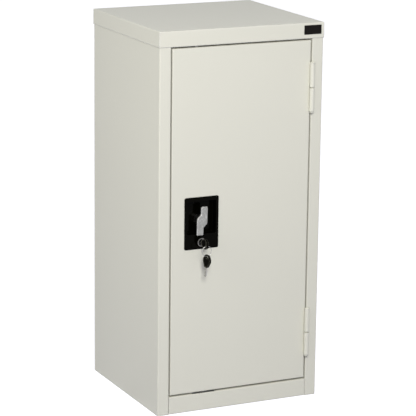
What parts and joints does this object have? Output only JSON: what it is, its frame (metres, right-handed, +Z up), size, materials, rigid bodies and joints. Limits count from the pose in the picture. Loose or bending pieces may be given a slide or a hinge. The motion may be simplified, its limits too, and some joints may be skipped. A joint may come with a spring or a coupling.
{
  "type": "wall-mounted storage cabinet",
  "caption": "Narrow steel wall cabinet with a hinged door, inside shelves, a recessed turn handle that throws locking rods, and a key lock.",
  "frame": {"origin": "centre of the pattern of wall bolt holes, on the outer back face", "axes": "+Z up; +Y into the wall, so the door faces -Y; +X to the right seen from the front, the hinge side"},
  "size_m": [0.352, 0.3625, 0.762],
  "materials": {
    "cabinet_paint": "fine satin enamel",
    "zinc_plate": "zinc plated",
    "handle_satin": "satin nickel",
    "bare_steel": "bright",
    "lock_chrome": "polished",
    "pan_black": "gloss",
    "key_black": "moulded",
    "bumper_rubber": "matt"
  },
  "bodies": {
    "case": {"top_cap": "cabinet_paint", "left_side": "cabinet_paint", "right_side": "cabinet_paint", "back_panel": "cabinet_paint", "bottom_pan": "cabinet_paint", "header": "cabinet_paint", "standard_left_front": "zinc_plate", "standard_left_rear": "zinc_plate", "standard_right_front": "zinc_plate", "standard_right_rear": "zinc_plate", "upper_shelf": "cabinet_paint", "lower_shelf": "cabinet_paint", "upper_shelf_clips": "zinc_plate", "lower_shelf_clips": "zinc_plate", "top_strike": "zinc_plate", "bottom_strike": "zinc_plate", "door_bumpers": "bumper_rubber", "upper_frame_hinge": "cabinet_paint", "lower_frame_hinge": "cabinet_paint", "upper_hinge_pin": "cabinet_paint", "lower_hinge_pin": "cabinet_paint"},
    "door": {"door_panel": "cabinet_paint", "door_stiffener": "cabinet_paint", "upper_door_hinge": "cabinet_paint", "lower_door_hinge": "cabinet_paint", "handle_pan": "pan_black", "pan_bracket": "zinc_plate", "pan_nuts": "zinc_plate", "upper_rod_guide": "zinc_plate", "lower_rod_guide": "zinc_plate", "lock_housing": "lock_chrome", "lock_nut": "zinc_plate"},
    "handle": {"turn_handle": "handle_satin", "latch_plate": "zinc_plate", "rod_pins": "bare_steel", "latch_screw": "bare_steel"},
    "upper_rod": {"upper_rod": "bare_steel"},
    "lower_rod": {"lower_rod": "bare_steel"},
    "lock": {"lock_plug": "lock_chrome", "lock_cam": "zinc_plate", "lock_cam_screw": "bare_steel"},
    "key": {"key_blade": "bare_steel", "key_bow": "key_black"},
    "ring": {"split_ring": "bare_steel"},
    "spare_key": {"spare_key_blade": "bare_steel", "spare_key_bow": "key_black"}
  },
  "joints": [
    {"name": "door_swing", "type": "hinge", "parent": "case", "child": "door", "pos_m": [0.14975, -0.3305, 0.00225], "axis": [0, 0, 1], "range_deg": [0, 180]},
    {"name": "handle_turn", "type": "hinge", "parent": "door", "child": "handle", "pos_m": [-0.0845, -0.325, 0.0065], "axis": [0, 1, 0], "range_deg": [0, 60]},
    {"name": "upper_rod_slide", "type": "slide", "parent": "door", "child": "upper_rod", "axis": [0, 0, 1], "range_m": [0, 0.012]},
    {"name": "lower_rod_slide", "type": "slide", "parent": "door", "child": "lower_rod", "axis": [0, 0, -1], "range_m": [0, 0.012]},
    {"name": "lock_turn", "type": "hinge", "parent": "door", "child": "lock", "pos_m": [-0.0845, -0.325, -0.03625], "axis": [0, -1, 0], "range_deg": [0, 90]},
    {"name": "key_withdraw", "type": "slide", "parent": "lock", "child": "key", "axis": [0, -1, 0], "range_m": [0, 0.022]},
    {"name": "ring_swing", "type": "hinge", "parent": "key", "child": "ring", "pos_m": [-0.0845, -0.3509, -0.03885], "axis": [1, 0, 0], "range_deg": [-60, 8]},
    {"name": "spare_key_swing", "type": "hinge", "parent": "ring", "child": "spare_key", "pos_m": [-0.0845, -0.3509, -0.05877], "axis": [0.9703, 0.2419, 0], "range_deg": [-60, 6]}
  ],
  "couplings": [
    {"joint": "upper_rod_slide", "follows": "handle_turn", "m_per_rad": 0.011459},
    {"joint": "lower_rod_slide", "follows": "handle_turn", "m_per_rad": 0.011459}
  ]
}
